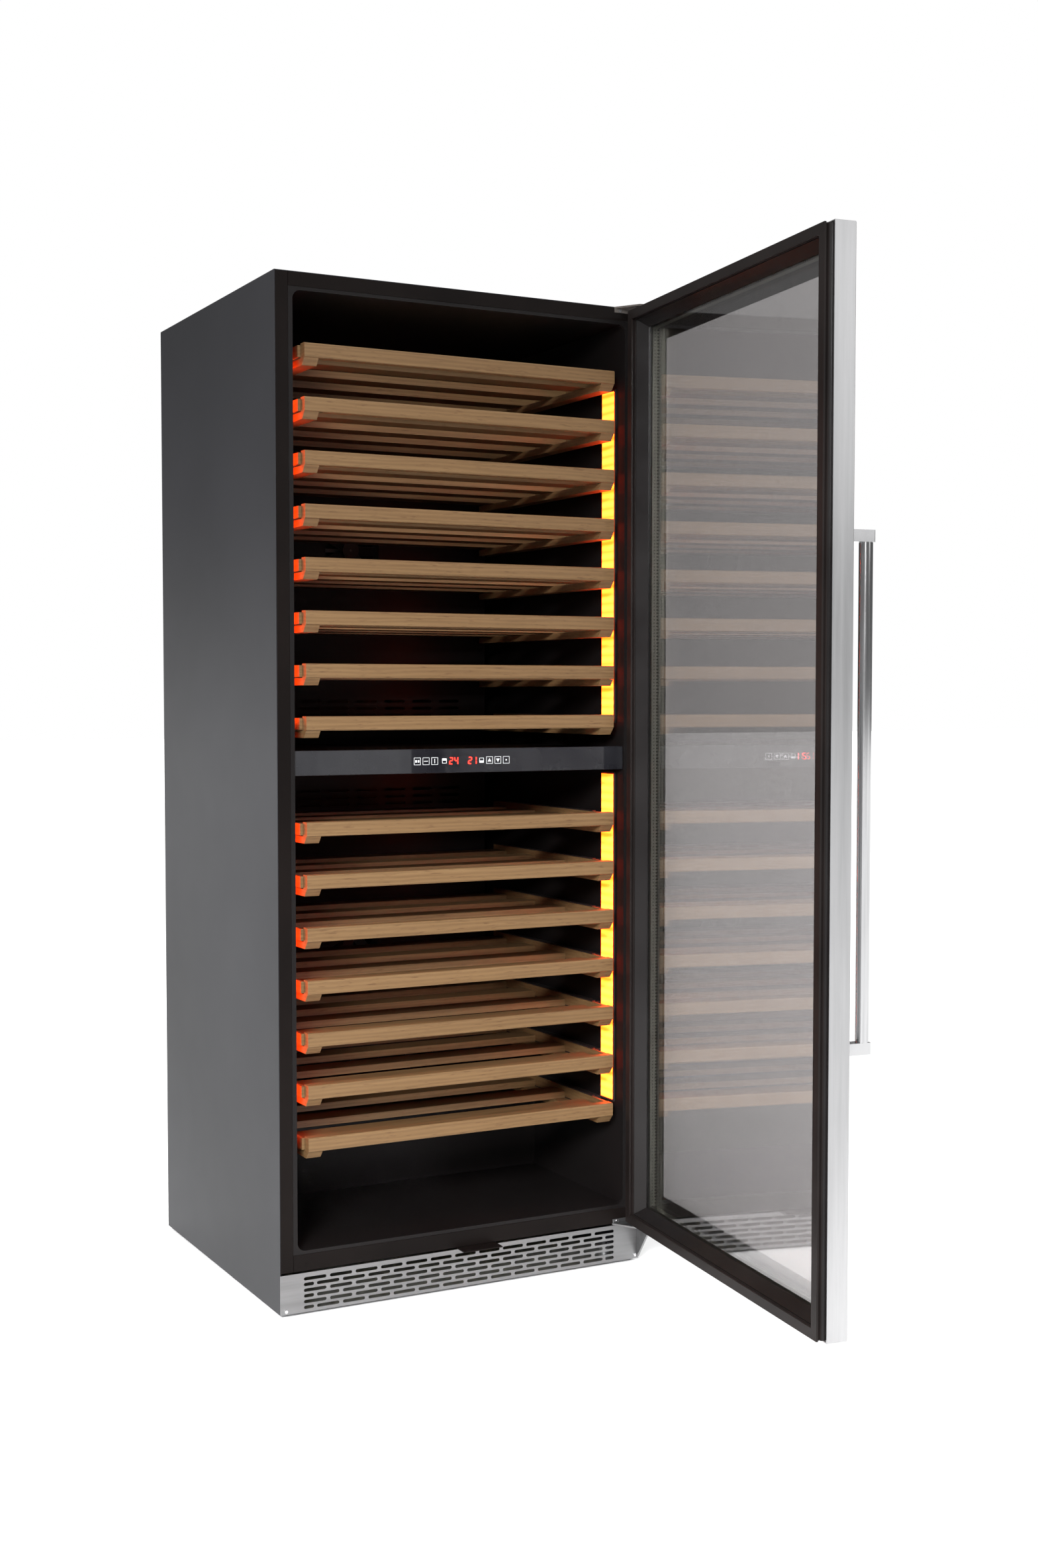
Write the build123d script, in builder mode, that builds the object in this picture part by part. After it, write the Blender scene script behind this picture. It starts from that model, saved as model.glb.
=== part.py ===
from build123d import *
import os

# Wine cooler. Origin: centre of the cabinet's footprint, on the floor.
# +X to the right, -Y out of the front, +Z up. Millimetres.

# Cabinet
WIDTH = 700.0
DEPTH = 612.0
BODY_HEIGHT = 1730.0
FOOT_GAP = 6.0
SHEET = 1.2
FIT_GAP = 0.3
HALF_W = WIDTH / 2
FRONT = -DEPTH / 2
BACK = DEPTH / 2
BASE = FOOT_GAP
TOP = FOOT_GAP + BODY_HEIGHT
RIM = 24.0
RIM_DEPTH = 14.0
RAIL_LOW = BASE + 70.0
RAIL_TOP = BASE + 98.0
KICK_TOP = BASE + 67.0

# Cavity
CAVITY_HALF = 318.0
CAVITY_FLOOR = BASE + 104.0
CAVITY_TOP = BASE + 1700.0
CAVITY_BACK = FRONT + 558.5
STEP_FRONT = FRONT + 343.0
STEP_TOP = BASE + 248.0
SKIN = 2.0
LINER_FLOOR = CAVITY_FLOOR - SKIN
LINER_ROOF = CAVITY_TOP + SKIN
LINER_REAR = CAVITY_BACK + SKIN
LINER_STEP = STEP_TOP - SKIN
LINER_RISER = STEP_FRONT + SKIN
PANEL_BACK = BACK - 1.6
MACHINE_TOP = BASE + 216.0

# Zone divider and controls
DIVIDER_LOW = BASE + 905.0
DIVIDER_TOP = BASE + 941.0
CONTROL_LOW = BASE + 902.0
CONTROL_TOP = BASE + 944.0

# Shelves: heights of the tops of the wooden fronts
UPPER_FIRST = BASE + 1617.0
UPPER_PITCH = 88.0
UPPER_COUNT = 8
LOWER_FIRST = BASE + 824.4
LOWER_PITCH = 88.6
LOWER_COUNT = 7
FASCIA_HALF = 297.0
FASCIA_HEIGHT = 24.0
FASCIA_FRONT = FRONT + 2.0
FASCIA_THICK = 18.0
SLAT_THICK = 12.0
SLAT_WIDE = 50.0
SLAT_FIRST = FRONT + 60.0
SLAT_PITCH = 120.0
SLAT_COUNT = 4
BATTEN_WIDE = 26.0
BATTEN_FRONT = FRONT + 4.0
BATTEN_BACK = FRONT + 490.0
BATTEN_SLOPE = 10.0
RAIL_OUTER = 305.0
RAIL_INNER = 298.0
RAIL_BACK = FRONT + 480.0
RAIL_FRONT = FRONT + 80.0
GLUE = 0.15
RUNNER_FRONT = FASCIA_FRONT + FASCIA_THICK + GLUE

# Door, measured from its pivot: x to the hinge side, y into the cabinet when closed
PIVOT_X = 340.0
PIVOT_Y = FRONT - 34.0
DOOR_REST = 83.0
PIVOT_OUT = 34.0
DOOR_LEFT = -687.0
DOOR_RIGHT = 7.0
DOOR_LOW = BASE + 76.0
DOOR_TOP = BASE + 1722.0
DOOR_FACE = 52.0
PIN_R = 3.0
PIN_PLAY = 0.06
BUSH_R = 5.2
DOOR_FRAME = Location((PIVOT_X, PIVOT_Y, 0), (0, 0, DOOR_REST))

# Fans and feet
FAN_SIDE = 120.0
FAN_HOLE_R = 57.0
FAN_BLADE_R = 54.5
FAN_DEEP = 25.0
FOOT_INSET = 45.0
STUD_R = 5.0
STUD_PLAY = 0.05

# Where a cylinder or box sits on its place
STANDING = (Align.CENTER, Align.CENTER, Align.MIN)
HANGING = (Align.CENTER, Align.CENTER, Align.MAX)

os.makedirs("parts", exist_ok=True)


def save(part, label):
    part.label = label
    export_step(part, f"parts/{label}.step")


def block(x_low, x_high, y_low, y_high, z_low, z_high, mode=Mode.ADD, frame=Location()):
    """Box between two opposite corners."""
    middle = ((x_low + x_high) / 2, (y_low + y_high) / 2, (z_low + z_high) / 2)
    with Locations(frame * Location(middle)):
        Box(x_high - x_low, y_high - y_low, z_high - z_low, mode=mode)


def door_block(x_low, x_high, out_low, out_high, z_low, z_high, mode=Mode.ADD):
    """Box on the door; out is the distance in front of the cabinet's front plane when closed."""
    y_low = PIVOT_OUT - out_high
    y_high = PIVOT_OUT - out_low
    block(x_low, x_high, y_low, y_high, z_low, z_high, mode, DOOR_FRAME)


def outline(corners):
    """Closed straight-sided face through the corners."""
    Polygon(*corners, align=None)


def mitred_bar(length, section, reach):
    """Bar along X from a section of (inset, depth) corners, both ends cut at 45 degrees."""
    half = length / 2 - FIT_GAP / 2
    with BuildPart() as bar:
        with BuildSketch(Plane.YZ):
            outline(section)
        extrude(amount=length / 2, both=True)
        with BuildSketch(Plane.XY):
            outline([(-half, 0), (half, 0), (half - reach, reach), (reach - half, reach)])
        extrude(amount=2 * DOOR_FACE, both=True, mode=Mode.INTERSECT)
    return bar.part


def door_ring(section, reach):
    """Four mitred bars round the door's edge."""
    width = DOOR_RIGHT - DOOR_LEFT
    height = DOOR_TOP - DOOR_LOW
    x_middle = (DOOR_LEFT + DOOR_RIGHT) / 2
    z_middle = (DOOR_LOW + DOOR_TOP) / 2
    sides = [
        ((x_middle, PIVOT_OUT, DOOR_LOW), (1, 0, 0), width),
        ((x_middle, PIVOT_OUT, DOOR_TOP), (-1, 0, 0), width),
        ((DOOR_LEFT, PIVOT_OUT, z_middle), (0, 0, -1), height),
        ((DOOR_RIGHT, PIVOT_OUT, z_middle), (0, 0, 1), height),
    ]
    bars = []
    for origin, along, length in sides:
        side = Plane(origin=origin, x_dir=along, z_dir=(0, -1, 0))
        bars.append(DOOR_FRAME * side.location * mitred_bar(length, section, reach))
    return bars


# ---------------------------------------------------------------- cabinet shell

with BuildPart() as side_panel_left:
    block(-HALF_W, -HALF_W + SHEET, FRONT, BACK, BASE, TOP)
save(side_panel_left.part, "side_panel_left")

with BuildPart() as side_panel_right:
    block(HALF_W - SHEET, HALF_W, FRONT, BACK, BASE, TOP)
save(side_panel_right.part, "side_panel_right")

SHEET_HALF = HALF_W - SHEET - 0.1
SHEET_TOP = TOP - SHEET - 0.1
REAR_LOW = MACHINE_TOP + 2.0

with BuildPart() as top_panel:
    block(-SHEET_HALF, SHEET_HALF, FRONT, BACK, TOP - SHEET, TOP)
save(top_panel.part, "top_panel")

with BuildPart() as back_panel:
    block(-SHEET_HALF, SHEET_HALF, PANEL_BACK - SHEET, PANEL_BACK, REAR_LOW, SHEET_TOP)
save(back_panel.part, "back_panel")

FOOT_X = HALF_W - FOOT_INSET
FOOT_Y = DEPTH / 2 - FOOT_INSET
PAN_THICK = 1.5
NUT_R = 10.0
NUT_HIGH = 14.0

with BuildPart() as base_pan:
    block(-SHEET_HALF, SHEET_HALF, FRONT + 2, PANEL_BACK - SHEET, BASE, BASE + PAN_THICK)
    with Locations((0, 0, BASE)):
        with GridLocations(2 * FOOT_X, 2 * FOOT_Y, 2, 2):
            Cylinder(NUT_R, NUT_HIGH, align=STANDING)
            Cylinder(STUD_R + STUD_PLAY, 4 * NUT_HIGH, mode=Mode.SUBTRACT)
save(base_pan.part, "base_pan")

# Foam blocks between the outer sheets and the liner
FOAM_OUT = HALF_W - SHEET - FIT_GAP
FOAM_IN = CAVITY_HALF + SKIN + FIT_GAP
FOAM_BACK = PANEL_BACK - SHEET - FIT_GAP
FOAM_FRONT = FRONT + RIM_DEPTH + FIT_GAP
FOAM_LOW = RAIL_LOW + 4.0
FOAM_TOP = TOP - SHEET - FIT_GAP
FOAM_STEP = LINER_STEP - FIT_GAP
MACHINE_FRONT = FRONT + 373.0

with BuildPart() as insulation:
    for side_low, side_high in ((-FOAM_OUT, -FOAM_IN), (FOAM_IN, FOAM_OUT)):
        block(side_low, side_high, FOAM_FRONT, FOAM_BACK, MACHINE_TOP + FIT_GAP, FOAM_TOP)
        block(side_low, side_high, FOAM_FRONT, MACHINE_FRONT, FOAM_LOW, MACHINE_TOP)
    block(-CAVITY_HALF, CAVITY_HALF, FOAM_FRONT, FOAM_BACK, LINER_ROOF + FIT_GAP, FOAM_TOP)
    block(-CAVITY_HALF, CAVITY_HALF, LINER_REAR + FIT_GAP, FOAM_BACK, REAR_LOW, LINER_ROOF)
    block(-CAVITY_HALF, CAVITY_HALF, FOAM_FRONT, LINER_RISER, FOAM_LOW, LINER_FLOOR - FIT_GAP)
    block(-CAVITY_HALF, CAVITY_HALF, LINER_RISER + FIT_GAP, MACHINE_FRONT, FOAM_LOW, FOAM_STEP)
    block(-CAVITY_HALF, CAVITY_HALF, MACHINE_FRONT + FIT_GAP, LINER_REAR, REAR_LOW, FOAM_STEP)
save(insulation.part, "insulation")

LIP_HALF = HALF_W - RIM - 0.2
LIP_LOW = RAIL_TOP + 0.2
LIP_TOP = BASE + 1705.8
LIP_THICK = 7.0
LIP_FRONT = FRONT + 1.0
MOUTH_ROUND = 14.0

with BuildPart() as inner_liner:
    with BuildSketch(Plane.YZ):
        outline(
            [
                (LIP_FRONT, LINER_FLOOR),
                (LINER_RISER, LINER_FLOOR),
                (LINER_RISER, LINER_STEP),
                (LINER_REAR, LINER_STEP),
                (LINER_REAR, LINER_ROOF),
                (LIP_FRONT, LINER_ROOF),
            ]
        )
    extrude(amount=CAVITY_HALF + SKIN, both=True)
    block(-LIP_HALF, LIP_HALF, LIP_FRONT, LIP_FRONT + LIP_THICK, LIP_LOW, LIP_TOP)
    with BuildSketch(Plane.YZ):
        outline(
            [
                (FRONT + LIP_THICK, CAVITY_FLOOR),
                (STEP_FRONT, CAVITY_FLOOR),
                (STEP_FRONT, STEP_TOP),
                (CAVITY_BACK, STEP_TOP),
                (CAVITY_BACK, CAVITY_TOP),
                (FRONT + LIP_THICK, CAVITY_TOP),
            ]
        )
    extrude(amount=CAVITY_HALF, both=True, mode=Mode.SUBTRACT)
    with BuildSketch(Plane.XZ.offset(-FRONT)):
        with Locations((0, (CAVITY_FLOOR + CAVITY_TOP) / 2)):
            RectangleRounded(2 * CAVITY_HALF, CAVITY_TOP - CAVITY_FLOOR, MOUTH_ROUND)
    extrude(amount=-LIP_THICK - 1, mode=Mode.SUBTRACT)
save(inner_liner.part, "inner_liner")

# Black frame round the cabinet's mouth, with a tab under the middle of the door
CAP_SPOTS = [
    (-338, BASE + 1723),
    (-301, BASE + 1724),
    (-343.5, BASE + 1680.7),
    (343.5, BASE + 1680.7),
    (-343.5, BASE + 80),
    (-301, BASE + 79.5),
]
CAP_R = 4.2
CAP_SHANK_R = 2.8
CAP_THICK = 0.4
CAP_SHANK = 8.0
FRAME_OUT = SHEET_HALF
FRAME_IN = HALF_W - RIM
FRAME_TOP = SHEET_TOP
FRAME_BACK = FRONT + RIM_DEPTH
TAB_LEFT = -21.0
TAB_RIGHT = 54.0
TAB_REACH = 29.0
TAB_THICK = 2.0

with BuildPart() as front_frame:
    block(-FRAME_OUT, -FRAME_IN, FRONT, FRAME_BACK, RAIL_LOW, FRAME_TOP)
    block(FRAME_IN, FRAME_OUT, FRONT, FRAME_BACK, RAIL_LOW, FRAME_TOP)
    block(-FRAME_IN + FIT_GAP, FRAME_IN - FIT_GAP, FRONT, FRAME_BACK, LIP_TOP + 0.2, FRAME_TOP)
    block(-FRAME_IN + FIT_GAP, FRAME_IN - FIT_GAP, FRONT, FRAME_BACK, RAIL_LOW, RAIL_TOP)
    chamfer(edges().filter_by(GeomType.LINE).group_by(Axis.Y)[0], 0.6)
    for spot_x, spot_z in CAP_SPOTS:
        with Locations(Location((spot_x, FRONT + 3, spot_z), (90, 0, 0))):
            Cylinder(CAP_SHANK_R + 0.2, 2 * CAP_SHANK + 4, mode=Mode.SUBTRACT)
    tab_top = RAIL_LOW - 0.2
    block(TAB_LEFT, TAB_RIGHT, FRONT - TAB_REACH, FRAME_BACK, tab_top - TAB_THICK, tab_top)
save(front_frame.part, "front_frame")

with BuildPart() as frame_plugs:
    for spot_x, spot_z in CAP_SPOTS:
        with Locations(Location((spot_x, FRONT, spot_z), (90, 0, 0))):
            Cylinder(CAP_R, CAP_THICK, align=STANDING)
            Cylinder(CAP_SHANK_R, CAP_SHANK, align=HANGING)
save(frame_plugs.part, "frame_plugs")

# Slotted kick plate: six rows, every second row shifted by half a pitch
SLOT_LONG = 40.4
SLOT_WIDE = 5.6
SLOT_PITCH = 47.1
SLOT_PER_ROW = 13
SLOT_ROWS = 6
SLOT_ROW_PITCH = 9.7
SLOT_FIRST_X = -HALF_W + 62.2
SLOT_FIRST_Z = KICK_TOP - 10.3
SLOT_END_LONG = 18.0

with BuildPart() as kick_grille:
    block(-HALF_W, HALF_W, FRONT - SHEET, FRONT, BASE, KICK_TOP)
    with BuildSketch(Plane.XZ.offset(-FRONT)):
        for row in range(SLOT_ROWS):
            row_z = SLOT_FIRST_Z - SLOT_ROW_PITCH * row
            if row % 2 == 0:
                starts = [SLOT_FIRST_X + SLOT_PITCH * n for n in range(SLOT_PER_ROW)]
            else:
                starts = [SLOT_FIRST_X + SLOT_PITCH * (n + 0.5) for n in range(SLOT_PER_ROW - 1)]
                end_x = SLOT_FIRST_X - SLOT_LONG / 2 + SLOT_END_LONG / 2
                last_x = end_x + SLOT_PITCH * (SLOT_PER_ROW - 1) + SLOT_LONG - SLOT_END_LONG
                with Locations((end_x, row_z), (last_x, row_z)):
                    SlotOverall(SLOT_END_LONG, SLOT_WIDE)
            with Locations(*[(x, row_z) for x in starts]):
                SlotOverall(SLOT_LONG, SLOT_WIDE)
    extrude(amount=2 * SHEET, both=True, mode=Mode.SUBTRACT)
save(kick_grille.part, "kick_grille")

# Hinge brackets on the right; the door turns about two pins
BRACKET_LEFT = HALF_W - 55.0
BRACKET_RIGHT = HALF_W - 2.0
BRACKET_THICK = 3.0
BRACKET_SHAPE = [
    (BRACKET_LEFT, FRONT),
    (BRACKET_LEFT + 27, FRONT - 44),
    (BRACKET_RIGHT, FRONT - 50),
    (BRACKET_RIGHT, FRONT),
]
BOTTOM_PLATE_LOW = BASE + 68.0
BOTTOM_PLATE_TOP = BOTTOM_PLATE_LOW + BRACKET_THICK
BRACKET_HOLE_R = PIN_R + 0.05
TAIL_FRONT = FRONT - 46.0
TAIL_BACK = FRONT - 1.4
TAIL_LOW = BASE + 3.0
TAIL_THICK = 4.0

with BuildPart() as hinge_top:
    with BuildSketch(Plane.XY.offset(TOP - BRACKET_THICK)):
        outline(BRACKET_SHAPE)
    extrude(amount=BRACKET_THICK)
    block(BRACKET_LEFT, BRACKET_RIGHT, FRONT - 2, FRONT, TOP - 10, TOP - BRACKET_THICK)
    with Locations((PIVOT_X, PIVOT_Y, TOP)):
        Cylinder(BRACKET_HOLE_R, 4 * BRACKET_THICK, mode=Mode.SUBTRACT)
save(hinge_top.part, "hinge_top")

with BuildPart() as hinge_bottom:
    with BuildSketch(Plane.XY.offset(BOTTOM_PLATE_LOW)):
        outline(BRACKET_SHAPE)
    extrude(amount=BRACKET_THICK)
    block(BRACKET_LEFT, BRACKET_RIGHT, FRONT - 2, FRONT, BOTTOM_PLATE_TOP, BASE + 78.5)
    with BuildSketch(Plane.YZ.offset(BRACKET_RIGHT - 2)):
        outline(
            [
                (TAIL_BACK, BOTTOM_PLATE_TOP),
                (TAIL_FRONT, BOTTOM_PLATE_TOP),
                (TAIL_FRONT, BOTTOM_PLATE_LOW - 3),
                (TAIL_BACK - 2, TAIL_LOW),
                (TAIL_BACK, TAIL_LOW),
            ]
        )
    extrude(amount=TAIL_THICK)
    with Locations((PIVOT_X, PIVOT_Y, BOTTOM_PLATE_LOW)):
        Cylinder(BRACKET_HOLE_R, 4 * BRACKET_THICK, mode=Mode.SUBTRACT)
save(hinge_bottom.part, "hinge_bottom")

COLLAR_R = 5.5
COLLAR_TOP_HIGH = 3.4
COLLAR_LOW_HIGH = 4.8
PIN_REACH = 22.0

with BuildPart() as hinge_pins:
    with Locations((PIVOT_X, PIVOT_Y, DOOR_TOP - PIN_REACH)):
        Cylinder(PIN_R, TOP - DOOR_TOP + PIN_REACH, align=STANDING)
    with Locations((PIVOT_X, PIVOT_Y, DOOR_TOP + 1.5)):
        Cylinder(COLLAR_R, COLLAR_TOP_HIGH, align=STANDING)
    with Locations((PIVOT_X, PIVOT_Y, BOTTOM_PLATE_LOW)):
        Cylinder(PIN_R, DOOR_LOW + PIN_REACH - BOTTOM_PLATE_LOW, align=STANDING)
    with Locations((PIVOT_X, PIVOT_Y, BOTTOM_PLATE_TOP + 0.05)):
        Cylinder(COLLAR_R, COLLAR_LOW_HIGH, align=STANDING)
save(hinge_pins.part, "hinge_pins")

# ---------------------------------------------------------------- inside

DIVIDER_HALF = CAVITY_HALF - FIT_GAP
DIVIDER_FRONT = FRONT + 10.0
DIVIDER_BACK = FRONT + 503.0
CONTROL_HALF = CAVITY_HALF - 1.0
CONTROL_FRONT = FRONT + 4.0
CONTROL_BACK = FRONT + 8.0
BOARD_HALF = 120.0
BOARD_EDGE = 3.0

with BuildPart() as zone_divider:
    block(-DIVIDER_HALF, DIVIDER_HALF, DIVIDER_FRONT, DIVIDER_BACK, DIVIDER_LOW, DIVIDER_TOP)
save(zone_divider.part, "zone_divider")

with BuildPart() as control_panel:
    block(-CONTROL_HALF, CONTROL_HALF, CONTROL_FRONT, CONTROL_BACK, CONTROL_LOW, CONTROL_TOP)
    chamfer(edges().filter_by(Axis.X).group_by(Axis.Y)[0], 0.8)
save(control_panel.part, "control_panel")

with BuildPart() as control_board:
    board_low = DIVIDER_LOW + BOARD_EDGE
    board_top = DIVIDER_TOP - BOARD_EDGE
    block(-BOARD_HALF, BOARD_HALF, CONTROL_BACK + 0.2, DIVIDER_FRONT - 0.2, board_low, board_top)
save(control_board.part, "control_board")

upper_tops = [UPPER_FIRST - UPPER_PITCH * n for n in range(UPPER_COUNT)]
lower_tops = [LOWER_FIRST - LOWER_PITCH * n for n in range(LOWER_COUNT)]
shelf_tops = upper_tops + lower_tops

RAIL_WEB = 2.0
RAIL_FLANGE = 1.5
WALL_PLAY = 0.2

with BuildPart() as shelf_rails:
    for shelf_top in shelf_tops:
        low = shelf_top - FASCIA_HEIGHT
        high = shelf_top - 1
        for side in (-1, 1):
            web = sorted([side * RAIL_OUTER, side * (RAIL_OUTER - RAIL_WEB)])
            flange = sorted([side * RAIL_OUTER, side * RAIL_INNER])
            pad = sorted([side * RAIL_OUTER, side * (CAVITY_HALF - WALL_PLAY)])
            block(*web, RAIL_FRONT, RAIL_BACK, low, high)
            block(*flange, RAIL_FRONT, RAIL_BACK, low, low + RAIL_FLANGE)
            block(*flange, RAIL_FRONT, RAIL_BACK, high - RAIL_FLANGE, high)
            block(*pad, RAIL_FRONT, RAIL_BACK, low + 2, high - 2)
save(shelf_rails.part, "shelf_rails")


def shelf_part(shelf_top):
    """One slatted shelf: front, two battens, four slats and two runners, glued up."""
    low = shelf_top - FASCIA_HEIGHT
    batten_in = FASCIA_HALF - BATTEN_WIDE
    runner_in = FASCIA_HALF + GLUE
    runner_out = RAIL_OUTER - RAIL_WEB - 1
    runner_low = low + RAIL_FLANGE + FIT_GAP
    runner_high = shelf_top - 1 - RAIL_FLANGE - FIT_GAP
    with BuildPart() as shelf:
        block(-FASCIA_HALF, FASCIA_HALF, FASCIA_FRONT, FASCIA_FRONT + FASCIA_THICK, low, shelf_top)
        fillet(edges().filter_by(Axis.X).group_by(Axis.Y)[0], 2.5)
        for slat in range(SLAT_COUNT):
            slat_front = SLAT_FIRST + SLAT_PITCH * slat
            block(-FASCIA_HALF, FASCIA_HALF, slat_front, slat_front + SLAT_WIDE, low, low + SLAT_THICK)
        with BuildSketch(Plane.YZ.offset(-FASCIA_HALF), Plane.YZ.offset(batten_in)):
            outline(
                [
                    (BATTEN_FRONT, low - GLUE),
                    (BATTEN_FRONT + BATTEN_SLOPE, low - SLAT_THICK),
                    (BATTEN_BACK, low - SLAT_THICK),
                    (BATTEN_BACK, low - GLUE),
                ]
            )
        extrude(amount=BATTEN_WIDE)
        block(-runner_out, -runner_in, RUNNER_FRONT, RAIL_BACK - 2, runner_low, runner_high)
        block(runner_in, runner_out, RUNNER_FRONT, RAIL_BACK - 2, runner_low, runner_high)
    return shelf.part


for number, shelf_top in enumerate(shelf_tops, start=1):
    save(shelf_part(shelf_top), f"shelf_{number:02d}")

# Light strips on both side walls, one pair in each zone
LIGHT_SPANS = [(BASE + 985, BASE + 1590), (BASE + 288, BASE + 896)]
LIGHT_FRONT = FRONT + 30.0
LIGHT_BACK = FRONT + 76.0
LIGHT_DEEP = 3.0
LIGHT_WALL = CAVITY_HALF - WALL_PLAY
LENS_WALL = LIGHT_WALL - LIGHT_DEEP - 0.1
LENS_THICK = 1.4
LENS_EDGE = 3.0

with BuildPart() as light_bars:
    for low, high in LIGHT_SPANS:
        for side in (-1, 1):
            bar = sorted([side * LIGHT_WALL, side * (LIGHT_WALL - LIGHT_DEEP)])
            block(*bar, LIGHT_FRONT, LIGHT_BACK, low, high)
save(light_bars.part, "light_bars")

with BuildPart() as light_lenses:
    for low, high in LIGHT_SPANS:
        for side in (-1, 1):
            lens = sorted([side * LENS_WALL, side * (LENS_WALL - LENS_THICK)])
            block(*lens, LIGHT_FRONT + LENS_EDGE, LIGHT_BACK - LENS_EDGE, low + 4, high - 4)
save(light_lenses.part, "light_lenses")

# ---------------------------------------------------------------- air ducts and fans

DUCT_FRONT = FRONT + 505.0
DUCT_THICK = 2.0
DUCT_HALF = 290.0
AIR_SLOT_LONG = 44.0
AIR_SLOT_WIDE = 6.0
AIR_SLOT_INSET = 60.0
UPPER_FAN_Z = BASE + 1320.0
LOWER_FAN_Z = BASE + 570.0


def duct_cover(z_low, z_high, fan_z):
    """Rear air cover with a round fan hole and rows of air slots."""
    with BuildPart() as cover:
        block(-DUCT_HALF, DUCT_HALF, DUCT_FRONT, DUCT_FRONT + DUCT_THICK, z_low, z_high)
        with Locations(Location((0, DUCT_FRONT, fan_z), (90, 0, 0))):
            Cylinder(FAN_HOLE_R, 10 * DUCT_THICK, mode=Mode.SUBTRACT)
        with BuildSketch(Plane.XZ.offset(-DUCT_FRONT)):
            with Locations((0, z_low + AIR_SLOT_INSET), (0, z_high - AIR_SLOT_INSET)):
                with GridLocations(AIR_SLOT_LONG + 16, AIR_SLOT_WIDE + 8, 8, 3):
                    SlotOverall(AIR_SLOT_LONG, AIR_SLOT_WIDE)
        extrude(amount=2 * DUCT_THICK, both=True, mode=Mode.SUBTRACT)
    return cover.part


air_duct_upper = duct_cover(BASE + 950, BASE + 1695, UPPER_FAN_Z)
save(air_duct_upper, "air_duct_upper")
air_duct_lower = duct_cover(BASE + 252, BASE + 895, LOWER_FAN_Z)
save(air_duct_lower, "air_duct_lower")

FAN_BACK = DUCT_FRONT + DUCT_THICK + 0.2 + FAN_DEEP
UPPER_FAN = Location((0, FAN_BACK, UPPER_FAN_Z), (90, 0, 0))
LOWER_FAN = Location((0, FAN_BACK, LOWER_FAN_Z), (90, 0, 0))
CONDENSER_FAN = Location((-140, FRONT + 490, BASE + 95), (0, 90, 0))
FAN_PIN_R = 2.0
FAN_PIN_LONG = 21.0
FAN_HUB_R = 17.0
FAN_ARM_WIDE = 7.0
FAN_ARM_THICK = 2.5
ROTOR_LOW = 4.0
ROTOR_HIGH = 16.0
BLADE_COUNT = 7
BLADE_LONG = 40.0
BLADE_WIDE = 19.0
BLADE_THICK = 1.8
BLADE_PITCH = 32.0


def fan_frame(place):
    """Square fan frame with four arms that carry the fan's fixed pin."""
    with Locations(place):
        Box(FAN_SIDE, FAN_SIDE, FAN_DEEP, align=STANDING)
        Cylinder(FAN_HOLE_R, 3 * FAN_DEEP, mode=Mode.SUBTRACT)
        Box(2 * FAN_HOLE_R + 2, FAN_ARM_WIDE, FAN_ARM_THICK, align=STANDING)
        Box(FAN_ARM_WIDE, 2 * FAN_HOLE_R + 2, FAN_ARM_THICK, align=STANDING)
        Cylinder(FAN_HUB_R, FAN_ARM_THICK, align=STANDING)
        Cylinder(FAN_PIN_R, FAN_PIN_LONG, align=STANDING)


with BuildPart() as fan_frames:
    for place in (UPPER_FAN, LOWER_FAN, CONDENSER_FAN):
        fan_frame(place)
save(fan_frames.part, "fan_frames")


def fan_rotor():
    """Fan rotor about Z: a hub bored for the pin, with pitched blades."""
    with BuildPart() as rotor:
        with Locations((0, 0, ROTOR_LOW)):
            Cylinder(FAN_HUB_R, ROTOR_HIGH, align=STANDING)
        with Locations((0, 0, ROTOR_LOW + ROTOR_HIGH / 2)):
            with PolarLocations(FAN_BLADE_R - BLADE_LONG / 2, BLADE_COUNT):
                Box(BLADE_LONG, BLADE_WIDE, BLADE_THICK, rotation=(BLADE_PITCH, 0, 0))
        Cylinder(FAN_PIN_R + PIN_PLAY, 3 * FAN_PIN_LONG, mode=Mode.SUBTRACT)
    return rotor.part


fan_blades = fan_rotor()
rotor_upper = UPPER_FAN * fan_blades
save(rotor_upper, "rotor_upper")
rotor_lower = LOWER_FAN * fan_blades
save(rotor_lower, "rotor_lower")
rotor_condenser = CONDENSER_FAN * fan_blades
save(rotor_condenser, "rotor_condenser")

EVAPORATOR_HALF = 200.0
EVAPORATOR_HIGH = 170.0
EVAPORATOR_BACK = CAVITY_BACK - 2.5
EVAPORATOR_FRONT = EVAPORATOR_BACK - 14.0

with BuildPart() as evaporators:
    for low in (BASE + 1060, BASE + 320):
        top = low + EVAPORATOR_HIGH
        block(-EVAPORATOR_HALF, EVAPORATOR_HALF, EVAPORATOR_FRONT, EVAPORATOR_BACK, low, top)
save(evaporators.part, "evaporators")

# ---------------------------------------------------------------- machine compartment

SHELL_R = 72.0
SHELL_LOW = BASE + 16.0
SHELL_HIGH = 165.0
SHELL_ROUND = 30.0
COMPRESSOR_X = 170.0
COMPRESSOR_Y = FRONT + 490.0
PLATE_HALF_X = 90.0
PLATE_HALF_Y = 65.0
PLATE_TOP = SHELL_LOW - 0.5
PLATE_LOW = PLATE_TOP - 3.0
MOUNT_R = 9.0
MOUNT_HIGH = 10.5
TERMINAL_LEFT = COMPRESSOR_X + SHELL_R + 1.0
TERMINAL_WIDE = 32.0
TERMINAL_HALF = 28.0
TERMINAL_LOW = BASE + 60.0
TERMINAL_HIGH = 60.0

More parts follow.
